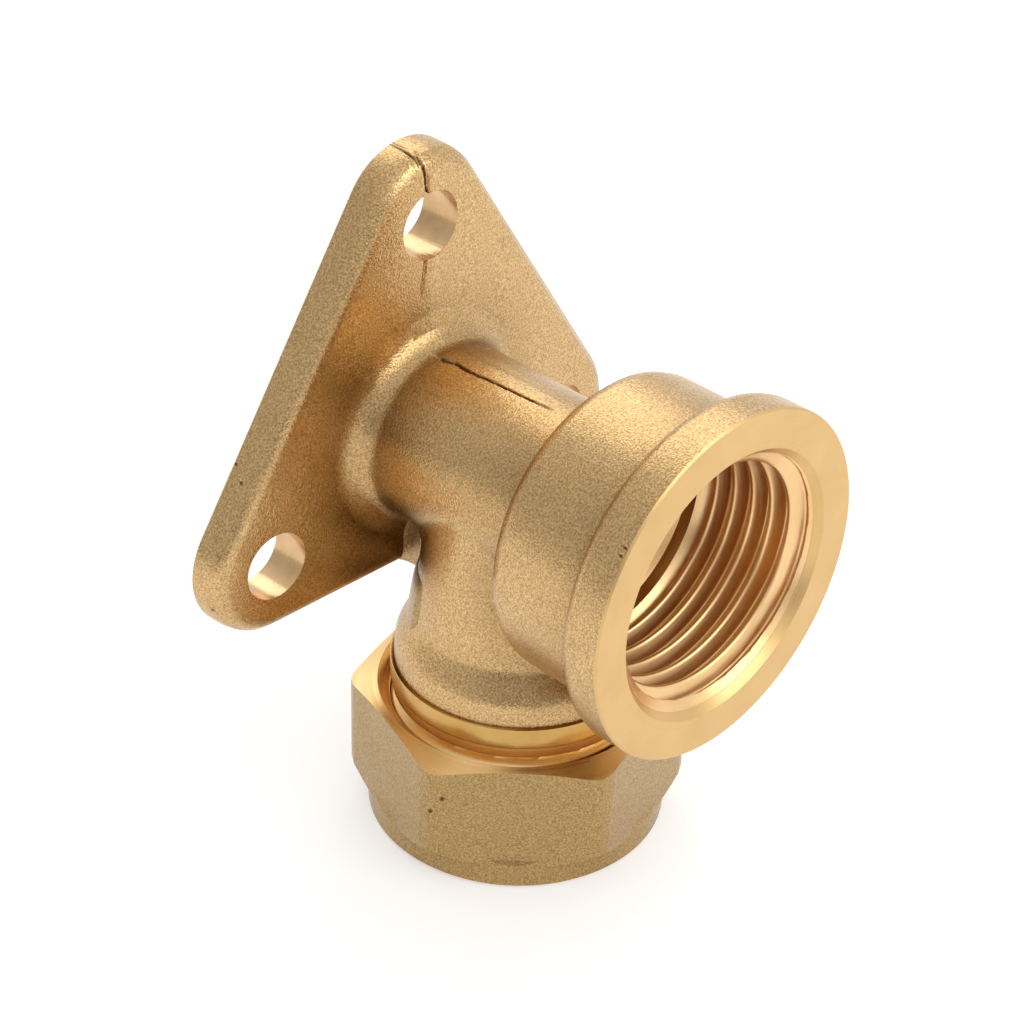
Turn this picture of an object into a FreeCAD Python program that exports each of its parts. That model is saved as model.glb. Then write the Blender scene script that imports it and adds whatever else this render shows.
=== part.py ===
import FreeCAD, Part
import math
import os

from FreeCAD import Vector

# Wall plate elbow: a forged brass body with a triangular wall plate, a parallel
# female socket facing -Y and a compression end for copper pipe facing -Z.
# Lengths are in millimetres.  The origin is where the socket axis meets the
# back of the wall plate; the shapes are first built about the crossing of the
# socket axis and the pipe axis and moved to the origin at the end.

# Socket axis: from the pipe axis to the wall and to the socket's face
axis_to_wall = 14.5
socket_reach = 20.5

# Wall plate
top_hole_z = 17.6
low_hole_x = 15.9
low_hole_z = -6.6
screw_hole_dia = 5.75
plate_rim = 3.225
plate_thickness = 3.85
plate_draft = 2.0
plate_front_round = 1.5
plate_back_break = 0.45
plate_neck_round = 2.6
plate_neck_bite = 0.2

# Parallel pipe thread: the socket is cut at the thread's roots, the bore beyond it at the crests
thread_major_dia = 20.955
thread_depth = 1.162
socket_thread_length = 10.9
socket_run_out = 1.0
mouth_chamfer = 0.57

# Neck, barrel and flange about the socket axis
neck_dia = 15.0
neck_wall = 1.7
barrel_wall = 1.77
barrel_floor = 1.1
flange_rim = 1.95
flange_width = 3.8
neck_barrel_round = 2.2
barrel_round = 1.6
flange_round = 1.2
face_edge_break = 0.15
waterway_past_axis = 1.0
drill_point_angle = 118.0

# Branch about the pipe axis, from the neck's underside down to the turned land
branch_inset = 0.4
branch_drop = 5.0
branch_swell = 1.7
shoulder_height = 2.5
shoulder_inset = 0.43
land_lead = 1.8
land_step = 0.3
land_width = 1.9
branch_round = 1.6
shoulder_round = 1.5
blend_round = 2.2

# Compression end: pipe, spigot and ring
pipe_dia = 15.0
pipe_clearance = 0.1
pipe_stop_drop = 0.4
spigot_wall = 1.7155
spigot_edge = 0.3
spigot_rim = 0.6
seat_half_angle = 30.0
seat_clearance = 0.04
ring_clearance = 0.05
ring_wall = 1.05
ring_end_wall = 0.35
ring_straight = 2.8

# Nut
nut_gap = 0.9
nut_height = 11.85
nut_wall = 1.53
nut_edge_round = 1.9
nut_turn = 13.2
nut_top_slope = 18.0
nut_collar_height = 2.75
nut_ledge = 0.17
nut_corner_foot = 2.05
nut_corner_height = 3.55
nut_end_wall = 2.1
nut_end_break = 0.3
nut_thread_gap = 0.07
nut_mouth_chamfer = 0.95
nut_seat_room = 0.3

# A round turns in straight runs of at most this angle, which keeps its facets few
round_step = 30.0

# Cutters and joined solids run on past their faces by this much
run_on = 1.0

# Radii about the socket axis
neck_r = neck_dia / 2
waterway_r = neck_r - neck_wall
socket_r = thread_major_dia / 2
crest_r = socket_r - thread_depth
mouth_r = socket_r + mouth_chamfer
barrel_r = socket_r + barrel_wall
flange_r = barrel_r + flange_rim
flange_corner = flange_rim - flange_round
screw_hole_r = screw_hole_dia / 2
plate_margin = screw_hole_r + plate_rim

# Stations along the socket axis
plate_front = axis_to_wall - plate_thickness
face_y = -socket_reach
flange_back_y = face_y + flange_width
thread_end_y = face_y + socket_thread_length
bore_end_y = thread_end_y + socket_run_out
barrel_back_y = bore_end_y + barrel_floor
drill_drop = 1 / math.tan(math.radians(drill_point_angle / 2))

# Radii about the pipe axis
pipe_bore_r = pipe_dia / 2 + pipe_clearance
spigot_r = pipe_bore_r + spigot_wall
spigot_seat_r = spigot_r - spigot_rim
land_r = spigot_r + thread_depth
shoulder_r = land_r - shoulder_inset
branch_top_r = neck_r - branch_inset
branch_low_r = branch_top_r + branch_swell
ring_bore_r = pipe_dia / 2 + ring_clearance
ring_r = ring_bore_r + ring_wall
ring_end_r = ring_bore_r + ring_end_wall
nut_bore_r = land_r + nut_thread_gap
nut_mouth_r = nut_bore_r + nut_mouth_chamfer
nut_flat_r = nut_bore_r + nut_wall
nut_collar_r = nut_flat_r + nut_ledge
nut_seat_r = ring_r + nut_seat_room

# Heights down the pipe axis to the nut's end, then back up through the nut's seat,
# the ring and the spigot's seat
branch_low_z = -neck_r - branch_drop
pipe_stop_z = branch_low_z - pipe_stop_drop
shoulder_z = branch_low_z - shoulder_height
land_top_z = shoulder_z - land_lead
land_end_z = land_top_z - land_width
nut_top_z = land_end_z - nut_gap
nut_end_z = nut_top_z - nut_height
nut_seat_z = nut_end_z + nut_end_wall
seat_slope = math.tan(math.radians(seat_half_angle))
seat_shift = seat_clearance / math.sin(math.radians(seat_half_angle))
nut_seat_end_z = nut_seat_z + (nut_seat_r - pipe_bore_r) / seat_slope
ring_slope_run = (ring_r - ring_end_r) / seat_slope
ring_low_z = nut_seat_z + (ring_end_r - pipe_bore_r) / seat_slope + seat_shift
ring_top_z = ring_low_z + ring_straight + 2 * ring_slope_run
spigot_seat_z = ring_top_z + (ring_end_r - pipe_bore_r) / seat_slope + seat_shift
spigot_end_z = spigot_seat_z - (spigot_seat_r - pipe_bore_r) / seat_slope

X = Vector(1, 0, 0)
Y = Vector(0, 1, 0)
Z = Vector(0, 0, 1)
O = Vector(0, 0, 0)


def round_turns(angle):
    """Fractions of a round's turn, in degrees, at which its straight runs meet."""
    runs = math.ceil(angle / round_step - 1e-6)
    return [i / runs for i in range(runs + 1)]


def rounded_wire(corners, place):
    """Closed wire through corners (a, b, radius), each corner rounded by its radius."""
    count = len(corners)
    points = []
    for i in range(count):
        a, b, radius = corners[i]
        here = Vector(a, b, 0)
        if radius == 0:
            points.append(place(here))
            continue
        before = (Vector(corners[i - 1][0], corners[i - 1][1], 0) - here).normalize()
        after = (Vector(corners[(i + 1) % count][0], corners[(i + 1) % count][1], 0) - here).normalize()
        half = before.getAngle(after) / 2
        centre = here + (before + after).normalize() * (radius / math.sin(half))
        start = here + before * (radius / math.tan(half)) - centre
        turn = math.pi - 2 * half
        across = (after * (radius / math.tan(half)) + here - centre - start * math.cos(turn)).normalize()
        for share in round_turns(math.degrees(turn)):
            swing = turn * share
            points.append(place(centre + start * math.cos(swing) + across * (radius * math.sin(swing))))
    points.append(points[0])
    kept = [p for i, p in enumerate(points) if i == 0 or p.distanceToPoint(points[i - 1]) > 1e-6]
    return Part.makePolygon(kept)


def about_y(corners):
    """Solid of revolution about the socket axis; corners are (radius, y, round)."""
    wire = rounded_wire(corners, lambda p: Vector(p.x, p.y, 0))
    return Part.Face(wire).revolve(O, Y, 360)


def about_z(corners):
    """Solid of revolution about the pipe axis; corners are (radius, z, round)."""
    wire = rounded_wire(corners, lambda p: Vector(p.x, 0, p.y))
    return Part.Face(wire).revolve(O, Z, 360)


def edges_where(shape, test):
    """Edges of which every sampled point passes the test."""
    found = []
    for edge in shape.Edges:
        if all(test(p) for p in edge.discretize(7)):
            found.append(edge)
    return found


def plate_outline(inset, y):
    """Outline of three lobes round the screw holes, joined by straight sides."""
    centres = [
        Vector(0, y, top_hole_z),
        Vector(low_hole_x, y, low_hole_z),
        Vector(-low_hole_x, y, low_hole_z),
    ]
    lobe_r = plate_margin - inset
    normals = []
    for i in range(3):
        along = (centres[(i + 1) % 3] - centres[i]).normalize()
        normals.append(along.cross(Y))
    edges = []
    for i in range(3):
        corner = centres[(i + 1) % 3]
        following = normals[(i + 1) % 3]
        middle = (normals[i] + following).normalize()
        end = corner + normals[i] * lobe_r
        edges.append(Part.makeLine(centres[i] + normals[i] * lobe_r, end))
        edges.append(Part.Arc(end, corner + middle * lobe_r, corner + following * lobe_r).toShape())
    return Part.Wire(edges)


# Wall plate.  The forging parts at x = 0, so each half of the plate's front falls away
# by the draft, with the neck's rounded foot.  One half is cut from a whole plate that
# leans all across, and the other is its mirror image.
lean_centre = Vector(0, plate_front, 0)
sections = []
for share in round_turns(90):
    swing = math.radians(90 * share)
    inset = plate_front_round * (1 - math.sin(swing))
    section = plate_outline(inset, plate_front + plate_front_round * (1 - math.cos(swing)))
    section.rotate(lean_centre, Z, -plate_draft)
    sections.append(section)
sections.append(plate_outline(0, axis_to_wall - plate_back_break))
sections.append(plate_outline(plate_back_break, axis_to_wall))
leaning = Part.makeLoft(sections, True, True)
foot_r = neck_r - plate_neck_bite
foot = about_y([
    (0, plate_front - plate_neck_round, 0),
    (foot_r, plate_front - plate_neck_round, 0),
    (foot_r, plate_front, plate_neck_round),
    (foot_r + plate_neck_round, plate_front, 0),
    (foot_r + plate_neck_round, plate_front + run_on, 0),
    (0, plate_front + run_on, 0),
])
foot.rotate(lean_centre, Z, -plate_draft)
half_room = 2 * (top_hole_z + low_hole_x + plate_margin)
left_room = Part.makeBox(
    half_room, 2 * half_room, 2 * half_room, Vector(-half_room, -half_room, -half_room))
left_half = leaning.fuse(foot).common(left_room)
right_half = left_half.mirror(O, X)
plate = left_half.fuse(right_half).removeSplitter()

# Neck and branch cross at right angles, with the inner corner rounded all round
branch = about_z([
    (0, 0, 0),
    (branch_top_r, 0, 0),
    (branch_low_r, branch_low_z, branch_round),
    (shoulder_r, shoulder_z, shoulder_round),
    (land_r - land_step, land_top_z, 0),
    (land_r, land_top_z, 0),
    (land_r, land_end_z, 0),
    (spigot_r, land_end_z, 0),
    (spigot_r, spigot_end_z + spigot_edge, 0),
    (spigot_r - spigot_edge, spigot_end_z, 0),
    (0, spigot_end_z, 0),
])
branch.rotate(O, Z, 90)
neck_length = plate_front + run_on - barrel_back_y
core = Part.makeCylinder(neck_r, neck_length, Vector(0, barrel_back_y, 0), Y).fuse(branch)
branch_taper = branch_swell / branch_low_z


def on_branch_foot(p):
    on_neck = abs(math.hypot(p.x, p.z) - neck_r) < 1e-3
    on_branch = abs(math.hypot(p.x, p.y) - branch_top_r - branch_taper * p.z) < 1e-3
    return on_neck and on_branch and p.z < -0.1


core = core.makeFillet(blend_round, edges_where(core, on_branch_foot))

# Barrel and flange about the socket axis, rounded into the neck
barrel = about_y([
    (0, barrel_back_y + neck_barrel_round, 0),
    (neck_r, barrel_back_y + neck_barrel_round, 0),
    (neck_r, barrel_back_y, neck_barrel_round),
    (barrel_r, barrel_back_y, barrel_round),
    (barrel_r, flange_back_y + flange_corner, 0),
    (barrel_r + flange_corner, flange_back_y, 0),
    (flange_r, flange_back_y, flange_round),
    (flange_r, face_y + face_edge_break, 0),
    (flange_r - face_edge_break, face_y, 0),
    (0, face_y, 0),
])
body = core.fuse(barrel).fuse(plate).removeSplitter()

# Threaded socket with its chamfered mouth, and the waterway drilled on to the pipe axis
socket_cut = about_y([
    (0, face_y - run_on, 0),
    (mouth_r + run_on, face_y - run_on, 0),
    (mouth_r, face_y, 0),
    (socket_r, face_y + mouth_chamfer, 0),
    (socket_r, thread_end_y - thread_depth, 0),
    (crest_r, thread_end_y, 0),
    (crest_r, bore_end_y, 0),
    (waterway_r, bore_end_y + (crest_r - waterway_r) * drill_drop, 0),
    (waterway_r, waterway_past_axis, 0),
    (0, waterway_past_axis + waterway_r * drill_drop, 0),
])
body = body.cut(socket_cut)

# Pipe bore from the spigot's seat up to the pipe stop, and the waterway above it
pipe_cut = about_z([
    (0, spigot_end_z - run_on, 0),
    (spigot_seat_r + run_on * seat_slope, spigot_end_z - run_on, 0),
    (pipe_bore_r, spigot_seat_z, 0),
    (pipe_bore_r, pipe_stop_z, 0),
    (waterway_r, pipe_stop_z, 0),
    (waterway_r, 0, 0),
    (0, waterway_r * drill_drop, 0),
])
body = body.cut(pipe_cut)

# Screw holes through the plate
for x, z in ((0, top_hole_z), (low_hole_x, low_hole_z), (-low_hole_x, low_hole_z)):
    body = body.cut(Part.makeCylinder(screw_hole_r, axis_to_wall + run_on, Vector(x, 0, z), Y))

# Compression ring between the two seats
ring = about_z([
    (ring_bore_r, ring_low_z, 0),
    (ring_end_r, ring_low_z, 0),
    (ring_r, ring_low_z + ring_slope_run, 0),
    (ring_r, ring_top_z - ring_slope_run, 0),
    (ring_end_r, ring_top_z, 0),
    (ring_bore_r, ring_top_z, 0),
])

# Nut: rounded hexagon trimmed by cones above and below, joined to its round collar
corner_foot_z = nut_end_z + nut_corner_foot
corner_z = nut_end_z + nut_corner_height
corner_r = nut_flat_r / math.cos(math.radians(30))
corner_slope = (corner_z - corner_foot_z) / (corner_r - nut_collar_r)
top_drop = math.tan(math.radians(nut_top_slope))
past_corner_r = corner_r + run_on
corners = []
for i in range(6):
    turn = math.radians(nut_turn + 60 * i)
    corners.append((corner_r * math.cos(turn), corner_r * math.sin(turn), nut_edge_round))
outline = rounded_wire(corners, lambda p: Vector(p.x, p.y, corner_foot_z))
hexagonal = Part.Face(outline).extrude(Vector(0, 0, nut_top_z - corner_foot_z))
envelope = about_z([
    (0, corner_foot_z, 0),
    (nut_collar_r, corner_foot_z, 0),
    (past_corner_r, corner_z + run_on * corner_slope, 0),
    (past_corner_r, nut_top_z - (past_corner_r - nut_mouth_r) * top_drop, 0),
    (nut_mouth_r, nut_top_z, 0),
    (0, nut_top_z, 0),
])
collar = about_z([
    (0, nut_end_z, 0),
    (nut_collar_r - nut_end_break, nut_end_z, 0),
    (nut_collar_r, nut_end_z + nut_end_break, 0),
    (nut_collar_r, nut_end_z + nut_collar_height, 0),
    (0, nut_end_z + nut_collar_height, 0),
])
nut = hexagonal.common(envelope).fuse(collar).removeSplitter()
nut_cut = about_z([
    (0, nut_end_z - run_on, 0),
    (pipe_bore_r, nut_end_z - run_on, 0),
    (pipe_bore_r, nut_seat_z, 0),
    (nut_seat_r, nut_seat_end_z, 0),
    (nut_bore_r, nut_seat_end_z, 0),
    (nut_bore_r, nut_top_z - nut_mouth_chamfer, 0),
    (nut_mouth_r, nut_top_z, 0),
    (nut_mouth_r + run_on, nut_top_z + run_on, 0),
    (0, nut_top_z + run_on, 0),
])
nut = nut.cut(nut_cut)

# One file per piece, moved so that the wall plate's back lies at y = 0
os.makedirs("parts", exist_ok=True)
for name, shape in (("elbow_body", body), ("compression_nut", nut), ("compression_ring", ring)):
    shape.translate(Vector(0, -axis_to_wall, 0))
    shape.exportStep("parts/" + name + ".step")
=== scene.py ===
import math

import bmesh
import bpy
from mathutils import Matrix, Vector, noise


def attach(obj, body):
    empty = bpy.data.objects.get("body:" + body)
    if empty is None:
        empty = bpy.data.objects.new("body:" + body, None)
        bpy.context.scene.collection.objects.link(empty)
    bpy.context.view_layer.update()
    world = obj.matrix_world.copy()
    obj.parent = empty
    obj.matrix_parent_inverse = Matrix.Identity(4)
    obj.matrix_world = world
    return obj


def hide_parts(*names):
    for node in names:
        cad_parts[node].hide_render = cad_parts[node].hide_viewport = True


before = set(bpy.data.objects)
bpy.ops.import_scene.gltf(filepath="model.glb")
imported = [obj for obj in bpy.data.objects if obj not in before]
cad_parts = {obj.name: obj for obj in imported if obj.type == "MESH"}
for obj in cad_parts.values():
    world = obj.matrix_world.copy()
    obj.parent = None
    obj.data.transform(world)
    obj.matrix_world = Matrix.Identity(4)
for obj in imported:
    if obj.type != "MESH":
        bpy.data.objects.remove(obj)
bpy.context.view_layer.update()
MM = 0.001

# Sizes of the part that the finish follows, in millimetres in the part's frame
pipe_y = -14.5
face_y = -35.0
face_rim = 0.6
socket_start_y = -18.0
socket_wall_r = 11.05
socket_mouth_r = 11.0475
socket_root_r = 10.4775
socket_crest_r = 9.3155
socket_thread_start = 0.585
socket_thread_end = 10.9
waterway_r = 6.0
waterway_length = 9.0
pitch = 1.814
spigot_root_r = 9.3155
spigot_crest_r = 10.45
spigot_thread = (-18.69, -24.55)
spigot_neck_r = 10.3
spigot_neck_end = -19.58
nut_root_r = 10.5475
nut_crest_r = 9.40
nut_thread = (-20.6, -27.05)
nut_cone_low_z = -21.5
nut_end_z = -31.45
collar_r = 12.2475
collar_top_z = -28.7
screw_holes = ((0.0, 17.6), (-15.9, -6.6), (15.9, -6.6))
screw_hole_r = 2.875
neck_r = 7.5
neck_run = (-5.7, -19.8)
branch_top_r = 7.1
branch_swell = 1.7
branch_low_z = -12.5
land_top_z = -16.75
land_r = 10.4775
land_wall_r = 10.6
land_rims = (-16.8, -18.7)

# Limits for telling faces and points apart, in millimetres or as a share of a normal
on_size = 0.01
inward = 0.01
upright = 0.1
sideways = 0.5
square_on = 0.9

# Limits of the mesh tools in metres, and the angle in degrees over which an edge stays crisp
weld_gap = 1e-7
cut_gap = 1e-8
level_gap = 1e-6
crease_angle = 38


# Shader helpers

def node_tree(name):
    mat = bpy.data.materials.new(name)
    mat.use_nodes = True
    tree = mat.node_tree
    tree.nodes.clear()
    return mat, tree


def add(tree, kind, **values):
    """A new node, with values for its settings or its inputs."""
    node = tree.nodes.new(kind)
    for key, value in values.items():
        if hasattr(node, key):
            setattr(node, key, value)
        else:
            node.inputs[key].default_value = value
    return node


def noise_node(tree, vector, scale, detail, roughness):
    node = add(tree, "ShaderNodeTexNoise", Scale=scale, Detail=detail, Roughness=roughness)
    tree.links.new(vector, node.inputs["Vector"])
    return node.outputs["Fac"]


def ramp(tree, value, low, high, a, b):
    """A value between low and high, stretched to run from a to b."""
    node = add(tree, "ShaderNodeMapRange")
    for key, number in (("From Min", low), ("From Max", high), ("To Min", a), ("To Max", b)):
        node.inputs[key].default_value = number
    tree.links.new(value, node.inputs["Value"])
    return node.outputs["Result"]


def colour_between(tree, value, low, high, first, second):
    node = add(tree, "ShaderNodeValToRGB")
    ends = node.color_ramp.elements
    ends[0].position, ends[1].position = low, high
    ends[0].color, ends[1].color = (*first, 1), (*second, 1)
    tree.links.new(value, node.inputs["Fac"])
    return node.outputs["Color"]


def product(tree, first, second):
    node = add(tree, "ShaderNodeVectorMath", operation="MULTIPLY")
    tree.links.new(first, node.inputs[0])
    tree.links.new(second, node.inputs[1])
    return node.outputs["Vector"]


def toward(tree, way, direction):
    """How far a way points in a direction, from -1 to 1."""
    node = add(tree, "ShaderNodeVectorMath", operation="DOT_PRODUCT")
    node.inputs[1].default_value = Vector(direction).normalized()
    tree.links.new(way, node.inputs[0])
    return node.outputs["Value"]


def bump(tree, height, distance, strength, under=None):
    node = add(tree, "ShaderNodeBump", Strength=strength, Distance=distance)
    tree.links.new(height, node.inputs["Height"])
    if under:
        tree.links.new(under, node.inputs["Normal"])
    return node.outputs["Normal"]


def brass(tree, colour, roughness, normal):
    shader = add(tree, "ShaderNodeBsdfPrincipled", Metallic=1.0)
    out = add(tree, "ShaderNodeOutputMaterial")
    tree.links.new(colour, shader.inputs["Base Color"])
    tree.links.new(roughness, shader.inputs["Roughness"])
    tree.links.new(normal, shader.inputs["Normal"])
    tree.links.new(shader.outputs["BSDF"], out.inputs["Surface"])


# Brass finishes

clean = (1, 1, 1)
pit_tone = (0.25, 0.20, 0.15)
pit_middle_r = 0.08
pit_rim_r = 0.24
# The inner corners are darkened partly by the oxide of the hollows, partly by painted shade.
corner_oxide_and_painted_shade_tone = (0.34, 0.28, 0.21)
corner_reach = 7.0
corner_range = (0.40, 0.95)
grain_range = (0.32, 0.70)
cloud_range = (0.3, 0.7)


def pits_node(tree, place, pits):
    """0 in the middle of the nearest casting pit and 1 on the skin around it."""
    nearest = None
    for pit in pits:
        gap = add(tree, "ShaderNodeVectorMath", operation="DISTANCE")
        gap.inputs[1].default_value = Vector(pit) * MM
        tree.links.new(place, gap.inputs[0])
        if nearest is None:
            nearest = gap.outputs["Value"]
            continue
        least = add(tree, "ShaderNodeMath", operation="MINIMUM")
        tree.links.new(nearest, least.inputs[0])
        tree.links.new(gap.outputs["Value"], least.inputs[1])
        nearest = least.outputs["Value"]
    return ramp(tree, nearest, pit_middle_r * MM, pit_rim_r * MM, 0, 1)


def corner_oxide_and_painted_shade(tree):
    """Darker inner corners, where another wall of the same piece is near: partly the oxide of the hollows,
    partly painted shade.
    """
    corner = add(tree, "ShaderNodeAmbientOcclusion", samples=3, only_local=True, Distance=corner_reach * MM)
    return colour_between(tree, corner.outputs["AO"], *corner_range, corner_oxide_and_painted_shade_tone, clean)


def blasted_brass(name, dark, light, rough, pits):
    """The sand-blasted skin: fine grain over a slight unevenness, corners darkened partly by oxide and partly
    by painted shade, and a few casting pits.
    """
    mat, tree = node_tree(name)
    place = add(tree, "ShaderNodeTexCoord").outputs["Object"]
    fine = noise_node(tree, place, scale=6600, detail=1.0, roughness=0.5)
    coarse = noise_node(tree, place, scale=2600, detail=2.0, roughness=0.5)
    broad = noise_node(tree, place, scale=260, detail=3.0, roughness=0.5)
    hollow = pits_node(tree, place, pits)
    normal = bump(tree, broad, distance=0.10 * MM, strength=0.30)
    normal = bump(tree, coarse, distance=0.03 * MM, strength=0.45, under=normal)
    normal = bump(tree, fine, distance=0.035 * MM, strength=0.85, under=normal)
    normal = bump(tree, hollow, distance=0.12 * MM, strength=0.8, under=normal)
    grain = colour_between(tree, fine, *grain_range, dark, light)
    # Darker towards the middle of each casting pit.
    pit_darkening = colour_between(tree, hollow, 0, 1, pit_tone, clean)
    tint = product(tree, product(tree, grain, pit_darkening), corner_oxide_and_painted_shade(tree))
    brass(tree, tint, ramp(tree, broad, *cloud_range, rough - 0.04, rough + 0.05), normal)
    return mat


def distance_from_socket_axis(tree, apart):
    flat = add(tree, "ShaderNodeCombineXYZ")
    tree.links.new(apart.outputs["X"], flat.inputs["X"])
    tree.links.new(apart.outputs["Z"], flat.inputs["Z"])
    reach = add(tree, "ShaderNodeVectorMath", operation="LENGTH")
    tree.links.new(flat.outputs["Vector"], reach.inputs[0])
    return reach.outputs["Value"]


def turned_brass(name, dark, light, rough, along, spacing):
    """Bright turned brass, with fine tool lines round the axis of the turning."""
    mat, tree = node_tree(name)
    place = add(tree, "ShaderNodeTexCoord").outputs["Object"]
    apart = add(tree, "ShaderNodeSeparateXYZ")
    tree.links.new(place, apart.inputs["Vector"])
    if along == "socket radius":
        way = distance_from_socket_axis(tree, apart)
    else:
        way = apart.outputs[along]
    line = add(tree, "ShaderNodeTexNoise", noise_dimensions="1D", Scale=1 / (spacing * MM), Detail=2.0)
    tree.links.new(way, line.inputs["W"])
    lines = line.outputs["Fac"]
    cloud = noise_node(tree, place, scale=260, detail=3.0, roughness=0.55)
    grain = noise_node(tree, place, scale=4200, detail=2.0, roughness=0.5)
    normal = bump(tree, lines, distance=0.004 * MM, strength=0.6)
    normal = bump(tree, grain, distance=0.004 * MM, strength=0.5, under=normal)
    tint = colour_between(tree, cloud, *cloud_range, dark, light)
    brass(tree, tint, ramp(tree, lines, *cloud_range, rough - 0.05, rough + 0.06), normal)
    return mat


body_pits = ((-21.47, -2.14, -8.57), (-17.92, -1.76, 1.32), (-17.38, -0.6, 2.25), (-11.63, -34.53, 8.14),
             (-11.26, -34.54, 8.64), (-14.01, -34.95, 1.09))
nut_pits = ((-13.22, -17.75, -24.02), (-12.74, -18.58, -22.58))
forged = blasted_brass(
    "blasted_brass", dark=(0.41, 0.262, 0.109), light=(0.77, 0.515, 0.250), rough=0.28, pits=body_pits)
# A darker copy of the blasted brass for the web and the pad in the corner under the neck: partly the oxide of
# that hollow, partly painted shade.
corner_oxide_and_painted_shade_skin = blasted_brass(
    "blasted_brass_corner_oxide_and_painted_shade", dark=(0.29, 0.186, 0.077), light=(0.55, 0.367, 0.178), rough=0.30, pits=body_pits)
# A darker copy of the blasted brass for the nut: painted shade, as its flats face the bright floor close by.
nut_skin_painted_shade = blasted_brass(
    "blasted_nut_brass_painted_shade", dark=(0.30, 0.197, 0.073), light=(0.54, 0.36, 0.163), rough=0.30, pits=nut_pits)
faced = turned_brass(
    "faced_brass", dark=(0.66, 0.432, 0.182), light=(0.72, 0.478, 0.212), rough=0.36,
    along="socket radius", spacing=0.16)
# Darker than the other turned brass: a painted reflection of the brown cone of the nut below the land.
land_skin_painted_reflection = turned_brass(
    "turned_land_brass_painted_reflection", dark=(0.55, 0.325, 0.10), light=(0.66, 0.41, 0.145), rough=0.20,
    along="Z", spacing=0.14)
coned = turned_brass(
    "turned_nut_brass", dark=(0.84, 0.56, 0.24), light=(0.92, 0.64, 0.30), rough=0.30,
    along="Z", spacing=0.14)
bored = turned_brass(
    "bored_brass", dark=(0.74, 0.47, 0.21), light=(0.84, 0.56, 0.27), rough=0.30,
    along="Y", spacing=0.12)
# Lighter than the bored brass of the same cut: painted light, for the bright flanks of the thread.
tapped_painted_light = turned_brass(
    "tapped_brass", dark=(0.80, 0.52, 0.245), light=(0.90, 0.615, 0.32), rough=0.33,
    along="Y", spacing=0.12)
drilled = turned_brass(
    "drilled_brass", dark=(0.56, 0.36, 0.18), light=(0.80, 0.55, 0.31), rough=0.22,
    along="Y", spacing=0.20)
ring_skin = turned_brass(
    "ring_brass_turned", dark=(0.82, 0.54, 0.24), light=(0.90, 0.62, 0.30), rough=0.18,
    along="Z", spacing=0.12)


# Pieces

def steps(start, end, step):
    """Even places from start to end, about a step apart."""
    count = round(abs(end - start) / step)
    return [start + (end - start) * i / count for i in range(count + 1)]


def closed_piece(name, points, faces, material, body_name, crease=crease_angle):
    """A new closed mesh that rides on a body, smooth but for the edges that bend by more than the crease."""
    mesh = bpy.data.meshes.new(name)
    mesh.from_pydata(points, [], faces)
    bm = bmesh.new()
    bm.from_mesh(mesh)
    bmesh.ops.recalc_face_normals(bm, faces=bm.faces)
    for face in bm.faces:
        face.smooth = True
    for edge in bm.edges:
        edge.smooth = edge.calc_face_angle(0.0) < math.radians(crease)
    bm.to_mesh(mesh)
    bm.free()
    mesh.materials.append(material)
    obj = bpy.data.objects.new(name, mesh)
    bpy.context.scene.collection.objects.link(obj)
    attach(obj, body_name)


def dressed(node, name, finish_of, finishes, change):
    """A welded and changed copy of a CAD node's mesh, with a finish for each face."""
    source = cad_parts[node]
    order = list(finishes)
    bm = bmesh.new()
    bm.from_mesh(source.data)
    bmesh.ops.transform(bm, matrix=source.matrix_world, verts=bm.verts)
    bmesh.ops.remove_doubles(bm, verts=bm.verts, dist=weld_gap)
    change(bm)
    bm.normal_update()
    for face in bm.faces:
        face.smooth = True
        face.material_index = order.index(finish_of(face.calc_center_median() / MM, face.normal))
    for edge in bm.edges:
        two = edge.link_faces
        edge.smooth = len(two) == 2 and edge.calc_face_angle(0.0) < math.radians(crease_angle) \
            and two[0].material_index == two[1].material_index
    mesh = bpy.data.meshes.new(name)
    bm.to_mesh(mesh)
    bm.free()
    for material in finishes.values():
        mesh.materials.append(material)
    obj = bpy.data.objects.new(name, mesh)
    bpy.context.scene.collection.objects.link(obj)
    even = obj.modifiers.new("even shading", "WEIGHTED_NORMAL")
    even.keep_sharp = True
    even.weight = 60
    return obj


# Parting line of the forging: a fold along the left of a trimmed strip, over the plate and along the neck

x_axis = Vector((1, 0, 0))
y_axis = Vector((0, 1, 0))
z_axis = Vector((0, 0, 1))
plate_fold = ((22.4, -0.89), (21.4, -1.17), (20.5, -1.19), (19.7, -0.94), (19.0, -0.78), (17.4, -0.63),
              (16.8, -0.52), (10.9, -0.76), (10.2, -0.75), (9.1, -0.95), (8.1, -1.04), (7.6, -1.14))
neck_fold = ((-5.2, -1.38), (-6.7, -1.25), (-7.5, -0.96), (-9.25, -1.05), (-11.25, -0.89),
             (-15.3, -0.68), (-17.0, -0.53))
fold_waves = ((0.05, 3.1, 0.7), (0.03, 9.0, 4.2))
strip_width = 1.9
strip_rise = 0.05
strip_left_slope = 8
strip_right_slope = 5
fold_x_range = (-1.9, 1.8)
fold_low_z = 6.0
fold_steps = steps(-1.8, -0.2, 0.07) + steps(0.1, 1.7, 0.2)
step_along = 0.2
neck_half_x = 3.0
neck_face_gap = 0.05
neck_point_gap = 0.03
neck_cut_start = -5.9
neck_fold_end = -18.0
neck_fold_depth = 0.28
neck_fold_half = 0.11
neck_fold_flare = 0.09
flare_start_y = -12
flare_length = 7
neck_run_in = 0.5
neck_run_out = 3.0
plate_half_x = 12.0
plate_front_y = -3.4
plate_front_z = (7.4, 23.0)
plate_cut_start = 21.9
plate_point_low_z = 7.5
plate_point_facing = 0.3
plate_edge_y = -3.9
plate_fold_back_y = -1.0
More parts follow.
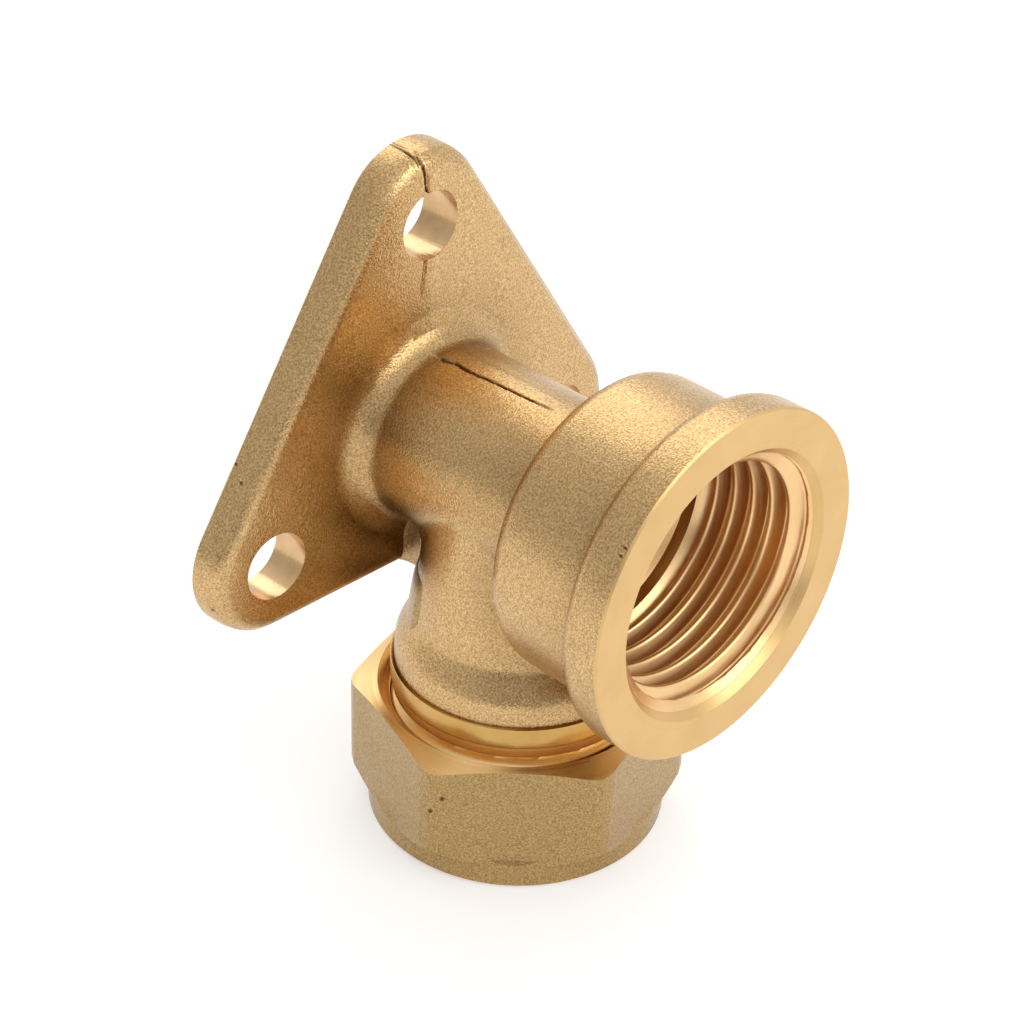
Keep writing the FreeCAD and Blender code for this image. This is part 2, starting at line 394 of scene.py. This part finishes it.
plate_fold_foot = 7.6
plate_middle_top_z = 22.0
plate_edge_low_z = 21.5
strip_top_z = 22.6
fold_above_hole = (0.13, 0.26)
fold_below_hole = (0.09, 0.10)
plate_run_in = 1.2
plate_run_out = 0.6


def fold_x(points, s):
    """The fold's x at a place along it, a little ragged."""
    ragged = 0.0
    for height, frequency, row in fold_waves:
        ragged += height * noise.noise(Vector((s * frequency, row, 0.0)))
    for (s0, x0), (s1, x1) in zip(points, points[1:]):
        if s1 <= s <= s0:
            return x0 + (x1 - x0) * (s - s0) / (s1 - s0) + ragged
    return points[0][1] if s > points[0][0] else points[-1][1]


def fold_height(offset, half_width, depth):
    """Height over the skin beside the fold: its groove, and the strip that rises on its right."""
    groove = max(0.0, 1 - (offset / half_width) ** 2)
    across = (offset - 0.5 * half_width) / strip_width
    rise = 0.0
    if 0 < across < 1:
        rise = strip_rise * min(1.0, across * strip_left_slope) * min(1.0, (1 - across) * strip_right_slope)
    return rise - depth * groove


def slice_faces(bm, inside, axis, places):
    """Cuts the faces whose middle lies inside, by planes across an axis."""
    for place in places:
        faces = [f for f in bm.faces if inside(f.calc_center_median() / MM, f.normal)]
        edges = dict.fromkeys(e for f in faces for e in f.edges)
        verts = dict.fromkeys(v for f in faces for v in f.verts)
        bmesh.ops.bisect_plane(bm, geom=[*verts, *edges, *faces], dist=cut_gap,
                               plane_co=axis * place * MM, plane_no=axis)


def in_fold_range(c):
    return fold_x_range[0] < c.x < fold_x_range[1]


def on_neck(c, gap):
    return neck_run[1] < c.y < neck_run[0] and abs(math.hypot(c.x, c.z) - neck_r) < gap


def neck_top(c, n):
    return on_neck(c, neck_face_gap) and c.z > 0 and abs(c.x) < neck_half_x


def plate_front(c, n):
    at_height = plate_front_z[0] < c.z < plate_front_z[1]
    return at_height and c.y < plate_front_y and n.y < -square_on and abs(c.x) < plate_half_x


def plate_middle(c, n):
    return plate_front(c, n) and in_fold_range(c) and c.z < plate_middle_top_z


def plate_edge(c, n):
    return c.z > plate_edge_low_z and c.y > plate_edge_y and n.y < sideways and abs(c.x) < plate_half_x


def fold_neck(v, c):
    """Moves a point of the neck's top to the height of the fold there, which widens towards the plate."""
    starts = max(0.0, (neck_run[0] - c.y) / neck_run_in)
    stops = max(0.0, (c.y - neck_fold_end) / neck_run_out)
    half_width = neck_fold_half + neck_fold_flare * max(0.0, (c.y - flare_start_y) / flare_length)
    height = fold_height(c.x - fold_x(neck_fold, c.y), half_width, neck_fold_depth) * min(1.0, starts, stops)
    outward = Vector((c.x, 0, c.z))
    v.co = c * MM + outward.normalized() * (neck_r - outward.length + height) * MM


def fold_plate(v, c):
    """Moves a point of the plate's front or top edge to the height of the fold there."""
    s = c.z + c.y
    if s < plate_fold_foot or c.y > plate_fold_back_y:
        return
    half_width, depth = fold_above_hole if c.z > screw_holes[0][1] else fold_below_hole
    height = fold_height(c.x - fold_x(plate_fold, s), half_width, depth)
    if c.z > strip_top_z:
        height = min(height, 0.0)
    ends = min(1.0, (s - plate_fold_foot) / plate_run_in, (plate_fold_back_y - c.y) / plate_run_out)
    v.co += v.normal * height * ends * MM


def fold_the_parting_line(bm):
    """Cuts the skin finer along the parting line and presses the fold into it."""
    bm.normal_update()
    slice_faces(bm, neck_top, x_axis, fold_steps)
    slice_faces(bm, neck_top, y_axis, steps(neck_cut_start, neck_fold_end, step_along))
    slice_faces(bm, plate_front, x_axis, fold_steps)
    slice_faces(bm, plate_edge, x_axis, fold_steps)
    slice_faces(bm, plate_middle, z_axis, steps(plate_cut_start, plate_fold_foot, step_along))
    bm.normal_update()
    for v in bm.verts:
        c = v.co / MM
        if not in_fold_range(c) or c.z < fold_low_z:
            continue
        if on_neck(c, neck_point_gap):
            fold_neck(v, c)
        elif c.y > plate_edge_y and c.z > plate_point_low_z and v.normal.y < plate_point_facing:
            fold_plate(v, c)


# Casting of the elbow

land_bevel = 0.14


def break_land_edges(bm):
    """Takes the sharpness off both rims of the turned land."""
    def on_rim(v):
        reach = math.hypot(v.co.x / MM, v.co.y / MM - pipe_y)
        return abs(reach - land_r) < on_size and min(abs(v.co.z / MM - z) for z in land_rims) < on_size

    rims = []
    for edge in bm.edges:
        first, second = edge.verts
        if on_rim(first) and on_rim(second) and abs(first.co.z - second.co.z) < level_gap:
            rims.append(edge)
    bmesh.ops.bevel(bm, geom=rims, offset=land_bevel * MM, segments=2, profile=0.5, affect="EDGES")


def mark_the_body(bm):
    fold_the_parting_line(bm)
    break_land_edges(bm)


def body_finish(c, n):
    """The finish of a face of the casting, from its middle and its normal."""
    from_socket = math.hypot(c.x, c.z)
    from_pipe = math.hypot(c.x, c.y - pipe_y)
    if c.y < face_y + face_rim and n.y < -sideways:
        return "face"
    if c.y < socket_start_y and from_socket < socket_wall_r and n.x * c.x + n.z * c.z <= inward:
        return "bore"
    for x, z in screw_holes:
        if math.hypot(c.x - x, c.z - z) < screw_hole_r + on_size and abs(n.y) < sideways:
            return "hole"
    if c.z < land_top_z and from_pipe < land_wall_r:
        return "land"
    if from_socket < waterway_r and from_pipe < waterway_length:
        return "bore"
    return "skin"


body_finishes = {"skin": forged, "face": faced, "land": land_skin_painted_reflection, "bore": bored, "hole": drilled}
body = dressed("elbow_body", "elbow_casting", body_finish, body_finishes, mark_the_body)
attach(body, "elbow")
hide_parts("elbow_body")


# Nut, with a steep crescent where each flat runs into the collar

ledge_slope = 2.4
ledge_gap = 0.02
collar_rim_gap = 0.05
crescent_half_turn = 12
crescent_lean = (0.25, 0.6)
crescent_height = 0.6
cone_lean = 0.4
bore_lean = 0.05


def turn_about_pipe(place):
    return math.atan2(place.y / MM - pipe_y, place.x / MM)


def is_ledge(face):
    return face.normal.z > square_on and all(abs(v.co.z / MM - collar_top_z) < ledge_gap for v in face.verts)


def is_chord(edge, ledge):
    """Whether an edge of the ledge is the foot of one of the flats."""
    walls = [f for f in edge.link_faces if f not in ledge]
    middle = (edge.verts[0].co + edge.verts[1].co) / 2 / MM
    within = math.hypot(middle.x, middle.y - pipe_y) < collar_r - collar_rim_gap
    return within and len(walls) > 0 and all(abs(f.normal.z) < upright for f in walls)


def crescent_at(chord, ledge):
    """The chord's ends, the points of the collar's rim in front of it, and their shares along the chord."""
    start, end = chord.verts
    heading = turn_about_pipe((start.co + end.co) / 2)

    def turn_aside(v):
        return math.remainder(turn_about_pipe(v.co) - heading, math.tau)

    def share(v):
        low, high = math.tan(turn_aside(start)), math.tan(turn_aside(end))
        return (math.tan(turn_aside(v)) - low) / (high - low)

    rim = {v for f in ledge for v in f.verts if v not in (start, end)
           and abs(turn_aside(v)) < math.radians(crescent_half_turn)}
    rim = sorted(rim, key=share)
    return start, end, rim, [share(v) for v in rim]


def split_chord(start, end, shares):
    """New points on the edge between start and end, at shares of its length."""
    first, last = start.co.copy(), end.co.copy()
    marks = []
    at = start
    for share in shares:
        edge = next(e for e in at.link_edges if e.other_vert(at) == end)
        _, at = bmesh.utils.edge_split(edge, at, 0.5)
        at.co = first.lerp(last, share)
        marks.append(at)
    return marks


def soften_collar_ledge(bm):
    """Turns the flat ledge between each flat and the collar into a steep crescent."""
    bm.normal_update()
    ledge = [f for f in bm.faces if is_ledge(f)]
    chords = [e for f in ledge for e in f.edges if is_chord(e, ledge)]
    crescents = [crescent_at(chord, ledge) for chord in chords]
    bmesh.ops.delete(bm, geom=ledge, context="FACES_ONLY")
    for start, end, rim, shares in crescents:
        marks = split_chord(start, end, shares)
        inside, outside = [start, *marks, end], [start, *rim, end]
        for k in range(len(inside) - 1):
            corners = [inside[k], inside[k + 1], outside[k + 1], outside[k]]
            bm.faces.new(list(dict.fromkeys(corners)))
        for mark, v in zip(marks, rim):
            v.co.z -= ledge_slope * (v.co - mark.co).xy.length
    loose = [e for e in bm.edges if not e.link_faces]
    bmesh.ops.delete(bm, geom=loose, context="EDGES")
    bmesh.ops.recalc_face_normals(bm, faces=bm.faces)


def nut_finish(c, n):
    """The finish of a face of the nut, from its middle and its normal."""
    if crescent_lean[0] < n.z < crescent_lean[1] and abs(c.z - collar_top_z) < crescent_height:
        return "crescent"
    outward = Vector((c.x, c.y - pipe_y, 0)).normalized()
    if n.dot(outward) < -bore_lean or (n.z > cone_lean and c.z > nut_cone_low_z):
        return "turned"
    return "skin"


nut_finishes = {"skin": nut_skin_painted_shade, "turned": coned, "crescent": nut_skin_painted_shade}
nut = dressed("compression_nut", "union_nut", nut_finish, nut_finishes, soften_collar_ledge)
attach(nut, "nut")
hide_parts("compression_nut")

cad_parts["compression_ring"].material_slots[0].material = ring_skin


# Web of metal in the corner under the neck, between plate and branch, and the pad below it

# Both are made in the darker corner brass: partly oxide, partly painted shade.
web_rings = 17
web_half_x = 2.6
web_flare = 0.3
web_back_y = -3.2
web_front_y = -8.6
web_top_z = -5.0
web_low_z = -12.5
web_fall = 0.5
web_arch = 0.25
web_corner_r = 0.6
pad_rings = 25
pad_flat_turn = 60
pad_flank_turn = 7
pad_turn_step = 6
pad_top_z = -8.4
pad_low_z = -15.6
pad_height = 0.32
pad_plateau = 1.4
pad_sink = 0.06
pad_flank_sink = 0.1
pad_bury = 0.8
pad_crease = 15


def bridge_rings(points, rings):
    """Faces that join rings of points into a closed tube."""
    many = len(points) // rings
    faces = [(i * many + j, i * many + (j + 1) % many, (i + 1) * many + (j + 1) % many, (i + 1) * many + j)
             for i in range(rings - 1) for j in range(many)]
    return faces + [tuple(range(many)), tuple(range((rings - 1) * many, rings * many))]


def make_pad():
    """A slightly raised pad round the back of the branch, from the web down to the shoulder."""
    points = []
    flank = [pad_flat_turn + pad_flank_turn * k / 3 for k in (1, 2, 3)]
    turns = [-t for t in reversed(flank)] + steps(-pad_flat_turn, pad_flat_turn, pad_turn_step) + flank
    for i in range(pad_rings):
        along = i / (pad_rings - 1)
        z = pad_top_z + (pad_low_z - pad_top_z) * along
        proud = pad_height * min(1.0, 4 * along * (1 - along) * pad_plateau) - pad_sink
        skin = branch_top_r + branch_swell * z / branch_low_z
        outline = []
        for t in turns:
            down_flank = max(0.0, (abs(t) - pad_flat_turn) / pad_flank_turn)
            outline.append((t, skin + proud - (proud + pad_flank_sink) * down_flank))
        outline += [(t, skin - pad_bury) for t in reversed(turns)]
        points += [Vector((r * math.sin(math.radians(t)), pipe_y + r * math.cos(math.radians(t)), z)) * MM
                   for t, r in outline]
    faces = bridge_rings(points, pad_rings)
    closed_piece("branch_pad", points, faces, corner_oxide_and_painted_shade_skin, "elbow", pad_crease)


def make_web():
    """The web: a block with rounded lower edges, arched below and a little wider at both ends."""
    points = []
    for i in range(web_rings):
        along = i / (web_rings - 1)
        mid = along * 2 - 1
        wide = web_half_x + web_flare * mid ** 4
        low = web_low_z - web_fall * along + web_arch * (1 - mid ** 2)
        outline = [(wide, web_top_z)]
        for a in (math.radians(15 * k) for k in range(7)):
            outline.append((wide - web_corner_r + web_corner_r * math.cos(a),
                            low + web_corner_r - web_corner_r * math.sin(a)))
        outline += [(-x, z) for x, z in reversed(outline)]
        y = web_back_y + (web_front_y - web_back_y) * along
        points += [Vector((x, y, z)) * MM for x, z in outline]
    faces = bridge_rings(points, web_rings)
    closed_piece("neck_web", points, faces, corner_oxide_and_painted_shade_skin, "elbow")


make_pad()
make_web()


# Threads: closed sleeves in the rounded 55 degree form, a little clear of the CAD wall they cover

thread_depth = 0.640327 * pitch
thread_round = 0.137329 * pitch
thread_lean = math.radians(27.5)
groove_start_turn = 0.62
sleeve_clear = 0.012
sleeve_bury = 0.06
least_thread = 0.02
thread_end_gap = 0.03
spigot_run_out = 0.5
nut_run_in = 1.0
nut_run_out = 0.6


def whitworth(offset):
    """Height over the root at an axial offset from a crest."""
    r = thread_round
    a = abs((offset + pitch / 2) % pitch - pitch / 2)
    turn_in = r * math.cos(thread_lean)
    if a < turn_in:
        return thread_depth - r + math.sqrt(r * r - a * a)
    if a > pitch / 2 - turn_in:
        return r - math.sqrt(max(0.0, r * r - (pitch / 2 - a) ** 2))
    return thread_depth - r * (1 - math.sin(thread_lean)) - (a - turn_in) / math.tan(thread_lean)


def thread(name, body_name, slot, material, start, end, place, near, far, rows, around):
    """A closed sleeve: near(turn, depth) is the radius of its threaded side, far(depth) of the hidden one."""
    points, faces = [], []
    depths = [start + (end - start) * i / rows for i in range(rows + 1)]
    for side in (0, 1):
        for depth in depths:
            for j in range(around):
                turn = j / around
                radius = near(turn, depth) if side == 0 else far(depth)
                points.append(place(radius, 2 * math.pi * turn, depth) * MM)
    hidden = (rows + 1) * around
    last = rows * around
    for j in range(around):
        k = (j + 1) % around
        for i in range(rows):
            a, b = i * around, (i + 1) * around
            faces.append((a + j, a + k, b + k, b + j))
            faces.append((hidden + a + k, hidden + a + j, hidden + b + j, hidden + b + k))
        faces.append((hidden + j, hidden + k, k, j))
        faces.append((last + j, last + k, hidden + last + k, hidden + last + j))
    closed_piece(name, points, faces, material, body_name)


def in_socket(radius, angle, depth):
    return Vector((radius * math.sin(angle), face_y + depth, radius * math.cos(angle)))


def about_pipe(radius, angle, z):
    return Vector((radius * math.cos(angle), pipe_y - radius * math.sin(angle), z))


def socket_end_cone(depth):
    return socket_crest_r + (socket_thread_end - depth)


def socket_near(turn, depth):
    cut = whitworth(depth - pitch * (turn - groove_start_turn) + pitch / 2)
    mouth_cone = socket_mouth_r - depth
    return min(max(socket_root_r - cut, mouth_cone), socket_end_cone(depth), socket_root_r) - sleeve_clear


def socket_far(depth):
    return min(socket_root_r, socket_end_cone(depth)) + sleeve_bury


def spigot_near(turn, z):
    """The plain neck at the top, then the thread, which fades out at the end."""
    if z > spigot_neck_end:
        return spigot_neck_r
    share = (spigot_crest_r - spigot_root_r) / thread_depth
    fade = min(1.0, (z - spigot_thread[1]) / spigot_run_out + least_thread)
    plain = max(0.0, spigot_neck_r - spigot_root_r - (spigot_neck_end - z))
    return spigot_root_r + sleeve_clear + max(plain, share * fade * whitworth(-z - pitch * turn))


def spigot_far(z):
    return spigot_root_r - sleeve_bury


def nut_near(turn, z):
    """The thread in the nut, which fades out at both ends."""
    share = (nut_root_r - nut_crest_r) / thread_depth
    fade = min(1.0, (nut_thread[0] - z) / nut_run_in + least_thread,
               (z - nut_thread[1]) / nut_run_out + least_thread)
    return nut_root_r - sleeve_clear - share * fade * whitworth(-z - pitch * turn + pitch / 2)


def nut_far(z):
    return nut_root_r + sleeve_bury


thread("socket_thread", "elbow", "forged_brass", tapped_painted_light,
       socket_thread_start, socket_thread_end - thread_end_gap,
       in_socket, socket_near, socket_far, rows=190, around=220)
thread("spigot_thread", "elbow", "forged_brass", coned, *spigot_thread,
       about_pipe, spigot_near, spigot_far, rows=90, around=180)
thread("nut_thread", "nut", "nut_brass", coned, *nut_thread,
       about_pipe, nut_near, nut_far, rows=110, around=180)


# Floor, light and camera

floor_half = 3.0
floor_colour = (0.66, 0.66, 0.66, 1)
floor_glow = (1, 0.99, 0.975, 1)
floor_glow_strength = 0.47
light_side = (0.78, -0.42, 0.44)
dark_side = (-0.68, -0.73, 0.0)
dark_side_lowness = 6
middle = (0, pipe_y * MM, 0)
camera_angles = (-46.74, 34.034, 1.786)
camera_distance = 215.631
camera_right = -1.082
camera_up = -2.841
focal_length_px = 2792.233
picture_width_px = 1024
sensor_width = 36


def floor_material():
    """A pale matt floor, with a glow that only the camera and reflections see."""
    mat, tree = node_tree("pale_floor")
    path = add(tree, "ShaderNodeLightPath")
    lit = add(tree, "ShaderNodeBsdfDiffuse", Color=floor_colour)
    glow = add(tree, "ShaderNodeEmission", Color=floor_glow, Strength=floor_glow_strength)
    dark = add(tree, "ShaderNodeEmission", Strength=0.0)
    seen = add(tree, "ShaderNodeMath", operation="MAXIMUM")
    pick = add(tree, "ShaderNodeMixShader")
    both = add(tree, "ShaderNodeAddShader")
    out = add(tree, "ShaderNodeOutputMaterial")
    tree.links.new(path.outputs["Is Camera Ray"], seen.inputs[0])
    tree.links.new(path.outputs["Is Glossy Ray"], seen.inputs[1])
    tree.links.new(seen.outputs["Value"], pick.inputs["Fac"])
    tree.links.new(dark.outputs["Emission"], pick.inputs[1])
    tree.links.new(glow.outputs["Emission"], pick.inputs[2])
    tree.links.new(lit.outputs["BSDF"], both.inputs[0])
    tree.links.new(pick.outputs["Shader"], both.inputs[1])
    tree.links.new(both.outputs["Shader"], out.inputs["Surface"])
    return mat


def make_floor():
    """A wide square at the height on which the nut stands at rest."""
    mesh = bpy.data.meshes.new("floor")
    corners = [(-floor_half, -floor_half), (floor_half, -floor_half),
               (floor_half, floor_half), (-floor_half, floor_half)]
    mesh.from_pydata([(x, y, nut_end_z * MM) for x, y in corners], [], [(0, 1, 2, 3)])
    mesh.materials.append(floor_material())
    obj = bpy.data.objects.new("floor", mesh)
    bpy.context.scene.collection.objects.link(obj)


def make_world():
    """A pale room, lighter on the right, with a darker part low at the front left."""
    world = bpy.data.worlds.new("studio")
    bpy.context.scene.world = world
    world.use_nodes = True
    tree = world.node_tree
    tree.nodes.clear()
    way = add(tree, "ShaderNodeTexCoord").outputs["Generated"]
    to_light = ramp(tree, toward(tree, way, light_side), -1, 1, 0, 1)
    room = colour_between(tree, to_light, 0.25, 0.66, (0.64, 0.63, 0.62), (0.98, 0.98, 0.98))
    stretched = add(tree, "ShaderNodeVectorMath", operation="MULTIPLY")
    stretched.inputs[1].default_value = (1, 1, dark_side_lowness)
    tree.links.new(way, stretched.inputs[0])
    unit_way = add(tree, "ShaderNodeVectorMath", operation="NORMALIZE")
    tree.links.new(stretched.outputs["Vector"], unit_way.inputs[0])
    to_dark = toward(tree, unit_way.outputs["Vector"], dark_side)
    shade = colour_between(tree, to_dark, 0.50, 0.85, clean, (0.06, 0.06, 0.06))
    sky = add(tree, "ShaderNodeBackground", Strength=1.0)
    out = add(tree, "ShaderNodeOutputWorld")
    tree.links.new(product(tree, room, shade), sky.inputs["Color"])
    tree.links.new(sky.outputs["Background"], out.inputs["Surface"])


def soft_light(name, place, aim, size, power):
    data = bpy.data.lights.new(name, "AREA")
    data.shape = "RECTANGLE"
    data.size, data.size_y = size
    data.energy = power
    obj = bpy.data.objects.new(name, data)
    obj.location = place
    obj.rotation_euler = (Vector(aim) - Vector(place)).to_track_quat("-Z", "Y").to_euler()
    bpy.context.scene.collection.objects.link(obj)


def make_camera():
    """A long lens above and to the left of the socket."""
    around, above, roll = (math.radians(a) for a in camera_angles)
    out = math.cos(above)
    back = Vector((math.sin(around) * out, -math.cos(around) * out, math.sin(above)))
    level = Vector((math.cos(around), math.sin(around), 0))
    upright = back.cross(level)
    right = math.cos(roll) * level + math.sin(roll) * upright
    up = -math.sin(roll) * level + math.cos(roll) * upright
    place = Vector((0, pipe_y, 0)) + camera_distance * back + camera_right * right + camera_up * up
    data = bpy.data.cameras.new("camera")
    data.sensor_width = sensor_width
    data.lens = focal_length_px * sensor_width / picture_width_px
    data.clip_start = 0.01
    obj = bpy.data.objects.new("camera", data)
    obj.matrix_world = Matrix.Translation(place * MM) @ Matrix((right, up, back)).transposed().to_4x4()
    bpy.context.scene.collection.objects.link(obj)
    bpy.context.scene.camera = obj


make_floor()
make_world()
soft_light("front", place=(0.130, -0.458, 0.275), aim=middle, size=(0.40, 0.26), power=0.74)
soft_light("back", place=(0.223, 0.318, 0.389), aim=middle, size=(0.40, 0.34), power=0.52)
make_camera()
bpy.context.scene.view_settings.view_transform = "Standard"
